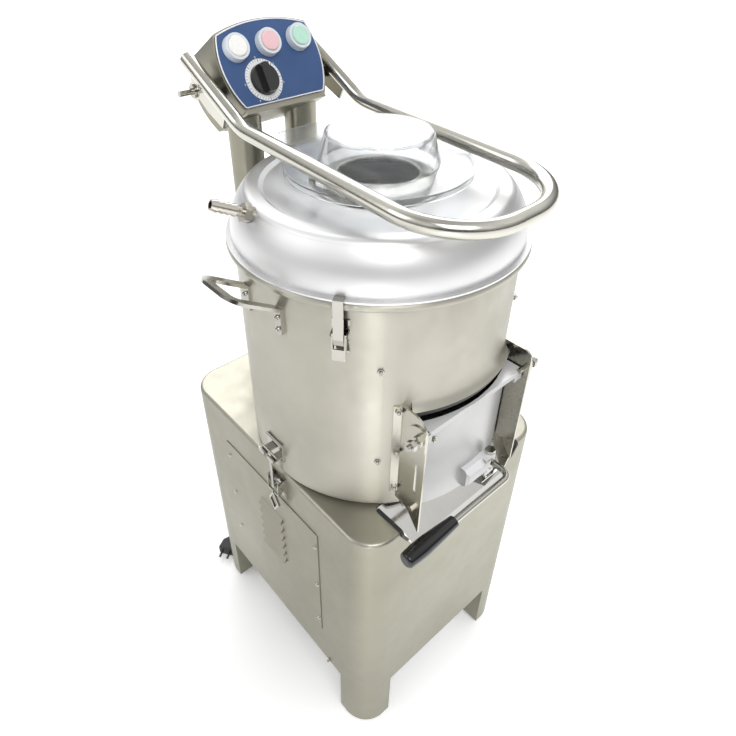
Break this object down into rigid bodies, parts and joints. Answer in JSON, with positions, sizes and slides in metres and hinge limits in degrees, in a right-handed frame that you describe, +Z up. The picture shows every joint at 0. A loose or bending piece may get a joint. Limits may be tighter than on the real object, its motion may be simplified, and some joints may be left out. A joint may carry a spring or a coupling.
{
  "type": "potato peeler machine",
  "caption": "Commercial drum potato peeler: abrasive drum on a louvred steel base, domed lid with clear feed cover, lever-locked discharge door, tilted control head and guard bow.",
  "frame": {"origin": "on the floor under the middle of the machine's bounding box, the mains cord left out", "axes": "+Z up, -Y towards the discharge door, -X towards the louvred service panel"},
  "size_m": [0.5322, 0.7065, 1.1723],
  "materials": {
    "steel": "brushed stainless sheet",
    "polished": "polished stainless",
    "spun": "spun satin",
    "cast": "fine cast, polished",
    "blue": "satin film",
    "black_plastic": "gloss",
    "white_plastic": "gloss",
    "red_plastic": "gloss",
    "green_plastic": "gloss",
    "clear": "clear moulded plastic",
    "rubber": "matt",
    "abrasive": "coarse grit in resin",
    "cast_iron": "cast",
    "motor": "paint"
  },
  "bodies": {
    "frame": {"base_cabinet": "steel", "corner_legs": "steel", "foot_pads": "steel", "service_panel": "steel", "panel_screws": "polished", "motor_shelf": "steel", "drive_motor": "motor", "bearing_housing": "cast_iron", "shaft_bearings": "steel", "shaft_seal": "rubber", "drain_outlet": "steel", "discharge_chute": "polished", "chute_edge_trim": "rubber", "drive_belt": "rubber", "drum_shell": "steel", "abrasive_liner": "abrasive", "drum_fasteners": "polished", "drum_handles": "steel", "door_seal": "rubber", "door_bracket_left": "steel", "door_bracket_right": "steel", "door_pivot_bolts": "polished", "lid_dome": "spun", "feed_collar": "polished", "water_inlet_nozzle": "polished", "control_columns": "steel", "control_box": "steel", "control_fascia": "blue", "timer_dial": "white_plastic", "panel_switches": "white_plastic", "bow_pivots": "steel", "bow_stops": "rubber", "lid_latch_bases": "polished", "drum_latch_bases": "polished", "drum_latch_keepers": "polished", "cord_gland": "rubber", "power_cord": "rubber", "cord_coil": "rubber", "power_plug": "rubber"},
    "bow": {"guard_bow": "steel", "feed_cover": "clear"},
    "door": {"discharge_door": "cast"},
    "door_lever": {"door_handle": "polished", "door_grip": "black_plastic"},
    "lid_lever_front": {"lid_latch_lever_front": "polished"},
    "lid_strap_front": {"lid_latch_strap_front": "polished"},
    "lid_lever_rear": {"lid_latch_lever_rear": "polished"},
    "lid_strap_rear": {"lid_latch_strap_rear": "polished"},
    "drum_lever_left": {"drum_latch_lever_left": "polished"},
    "drum_bail_left": {"drum_latch_bail_left": "polished"},
    "drum_lever_right": {"drum_latch_lever_right": "polished"},
    "drum_bail_right": {"drum_latch_bail_right": "polished"},
    "white_button": {"button_white": "white_plastic"},
    "red_button": {"button_red": "red_plastic"},
    "green_button": {"button_green": "green_plastic"},
    "timer": {"timer_knob": "black_plastic"},
    "rotor": {"peeling_disc": "abrasive", "drive_shaft": "steel", "driven_pulley": "cast_iron"},
    "motor_rotor": {"motor_pulley": "cast_iron"}
  },
  "joints": [
    {"name": "bow_hinge", "type": "hinge", "parent": "frame", "child": "bow", "pos_m": [0, 0.23797, 1.08695], "axis": [-1, 0, 0], "range_deg": [0, 100]},
    {"name": "door_hinge", "type": "hinge", "parent": "frame", "child": "door", "pos_m": [0, -0.2453, 0.75], "axis": [-1, 0, 0], "range_deg": [0, 95]},
    {"name": "door_lever_turn", "type": "hinge", "parent": "door", "child": "door_lever", "pos_m": [0.044, -0.2543, 0.607], "axis": [0, 0, 1], "range_deg": [0, 75]},
    {"name": "lid_lever_front_turn", "type": "hinge", "parent": "frame", "child": "lid_lever_front", "pos_m": [-0.17079, -0.15789, 0.897], "axis": [-0.5736, 0.8192, 0], "range_deg": [0, 90]},
    {"name": "lid_strap_front_turn", "type": "hinge", "parent": "lid_lever_front", "child": "lid_strap_front", "pos_m": [-0.1712, -0.15818, 0.886], "axis": [-0.5736, 0.8192, 0], "range_deg": [-90, 0]},
    {"name": "lid_lever_rear_turn", "type": "hinge", "parent": "frame", "child": "lid_lever_rear", "pos_m": [0.17079, 0.08129, 0.897], "axis": [0.5736, -0.8192, 0], "range_deg": [0, 90]},
    {"name": "lid_strap_rear_turn", "type": "hinge", "parent": "lid_lever_rear", "child": "lid_strap_rear", "pos_m": [0.1712, 0.08157, 0.886], "axis": [0.5736, -0.8192, 0], "range_deg": [-90, 0]},
    {"name": "drum_lever_left_turn", "type": "hinge", "parent": "frame", "child": "drum_lever_left", "pos_m": [-0.208, -0.0383, 0.56], "axis": [0, 1, 0], "range_deg": [0, 100]},
    {"name": "drum_bail_left_turn", "type": "hinge", "parent": "drum_lever_left", "child": "drum_bail_left", "pos_m": [-0.208, -0.0383, 0.548], "axis": [0, 1, 0], "range_deg": [-90, 0]},
    {"name": "drum_lever_right_turn", "type": "hinge", "parent": "frame", "child": "drum_lever_right", "pos_m": [0.208, -0.0383, 0.56], "axis": [0, -1, 0], "range_deg": [0, 100]},
    {"name": "drum_bail_right_turn", "type": "hinge", "parent": "drum_lever_right", "child": "drum_bail_right", "pos_m": [0.208, -0.0383, 0.548], "axis": [0, -1, 0], "range_deg": [-90, 0]},
    {"name": "white_button_press", "type": "slide", "parent": "frame", "child": "white_button", "axis": [0, 0.866, -0.5], "range_m": [0, 0.0035], "stiffness_N_per_m": 400, "springref_m": -0.001},
    {"name": "red_button_press", "type": "slide", "parent": "frame", "child": "red_button", "axis": [0, 0.866, -0.5], "range_m": [0, 0.0035], "stiffness_N_per_m": 400, "springref_m": -0.001},
    {"name": "green_button_press", "type": "slide", "parent": "frame", "child": "green_button", "axis": [0, 0.866, -0.5], "range_m": [0, 0.0035], "stiffness_N_per_m": 400, "springref_m": -0.001},
    {"name": "timer_turn", "type": "hinge", "parent": "frame", "child": "timer", "pos_m": [-0.0265, 0.17903, 1.0991], "axis": [0, -0.866, 0.5], "range_deg": [-300, 0]},
    {"name": "rotor_spin", "type": "hinge", "parent": "frame", "child": "rotor", "pos_m": [0, -0.0383, 0.6], "axis": [0, 0, 1], "continuous": true},
    {"name": "motor_spin", "type": "hinge", "parent": "frame", "child": "motor_rotor", "pos_m": [0, 0.1117, 0.416], "axis": [0, 0, 1], "continuous": true}
  ],
  "couplings": [
    {"joint": "lid_strap_front_turn", "follows": "lid_lever_front_turn", "ratio": -1},
    {"joint": "lid_strap_rear_turn", "follows": "lid_lever_rear_turn", "ratio": -1},
    {"joint": "drum_bail_left_turn", "follows": "drum_lever_left_turn", "ratio": -0.9},
    {"joint": "drum_bail_right_turn", "follows": "drum_lever_right_turn", "ratio": -0.9},
    {"joint": "motor_spin", "follows": "rotor_spin", "ratio": 2.9794}
  ]
}
